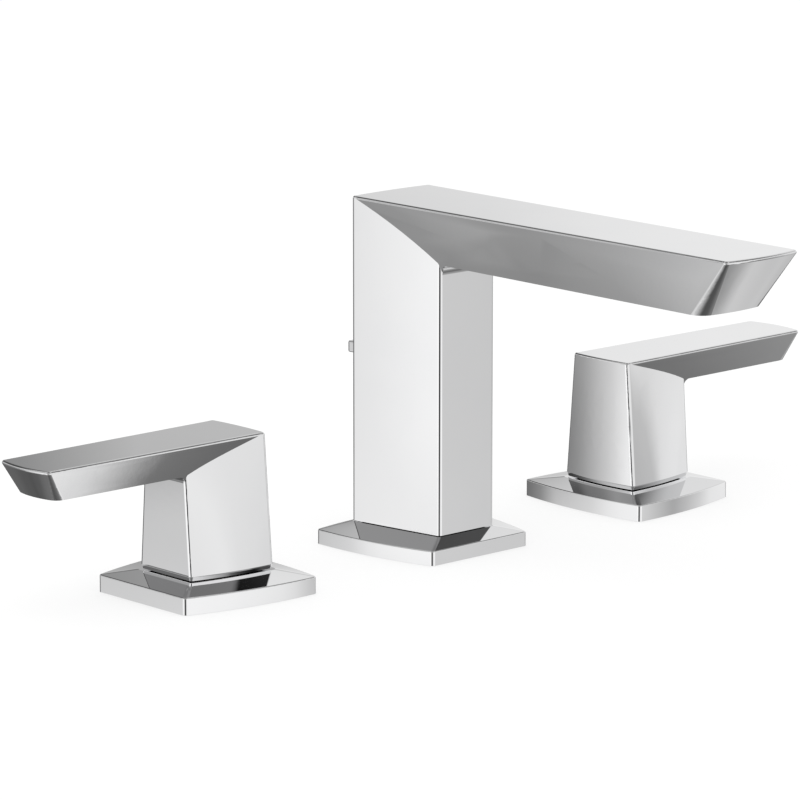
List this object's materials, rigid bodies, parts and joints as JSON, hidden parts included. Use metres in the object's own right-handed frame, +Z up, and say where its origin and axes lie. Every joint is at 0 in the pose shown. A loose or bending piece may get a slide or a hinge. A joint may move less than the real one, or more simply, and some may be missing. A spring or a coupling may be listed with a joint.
{
  "type": "widespread basin faucet",
  "caption": "Widespread basin faucet: a keystone spout on a low plate with a lift rod behind it, and a flat lever handle on its own plate at each side.",
  "frame": {"origin": "the spout's shank axis where it meets the deck's top face", "axes": "+Z up, -Y forwards along the spout's arm, +X towards the cold (right) handle as the user sees it"},
  "size_m": [0.353, 0.1903, 0.224],
  "materials": {
    "chrome": "polished",
    "brass": "machined",
    "copper": "drawn",
    "steel": "brushed",
    "rubber": "matte",
    "nylon": "matte",
    "ceramic": "lapped"
  },
  "bodies": {
    "fixed": {"aerator_housing": "chrome", "aerator_insert": "nylon", "aerator_seal": "rubber", "inlet_tee": "brass", "left_bonnet_nut": "brass", "left_cartridge": "nylon", "left_cartridge_seal": "rubber", "left_escutcheon": "chrome", "left_fixed_disc": "ceramic", "left_gasket": "rubber", "left_glide_ring": "nylon", "left_lock_nut": "brass", "left_ring_nut": "brass", "left_rubber_washer": "rubber", "left_steel_washer": "steel", "left_valve_body": "brass", "lift_rod_bush": "nylon", "right_bonnet_nut": "brass", "right_cartridge": "nylon", "right_cartridge_seal": "rubber", "right_escutcheon": "chrome", "right_fixed_disc": "ceramic", "right_gasket": "rubber", "right_glide_ring": "nylon", "right_lock_nut": "brass", "right_ring_nut": "brass", "right_rubber_washer": "rubber", "right_steel_washer": "steel", "right_valve_body": "brass", "spout_base_plug": "brass", "spout_body": "chrome", "spout_escutcheon": "chrome", "spout_gasket": "rubber", "spout_mounting_nut": "brass", "spout_rubber_washer": "rubber", "spout_shank": "brass", "spout_steel_washer": "steel", "waterway_tube": "copper"},
    "left_lever": {"left_handle": "chrome", "left_handle_adapter": "brass", "left_set_screw": "steel", "left_valve_stem": "brass", "left_moving_disc": "ceramic"},
    "right_lever": {"right_handle": "chrome", "right_handle_adapter": "brass", "right_set_screw": "steel", "right_valve_stem": "brass", "right_moving_disc": "ceramic"},
    "lift": {"lift_knob": "chrome", "lift_rod": "chrome"}
  },
  "joints": [
    {"name": "left_turn", "type": "hinge", "parent": "fixed", "child": "left_lever", "pos_m": [-0.1016, 0, 0.03], "axis": [0, 0, 1], "range_deg": [0, 90]},
    {"name": "right_turn", "type": "hinge", "parent": "fixed", "child": "right_lever", "pos_m": [0.1016, 0, 0.03], "axis": [0, 0, 1], "range_deg": [-90, 0]},
    {"name": "lift_slide", "type": "slide", "parent": "fixed", "child": "lift", "axis": [0, 0, 1], "range_m": [0, 0.02]}
  ]
}
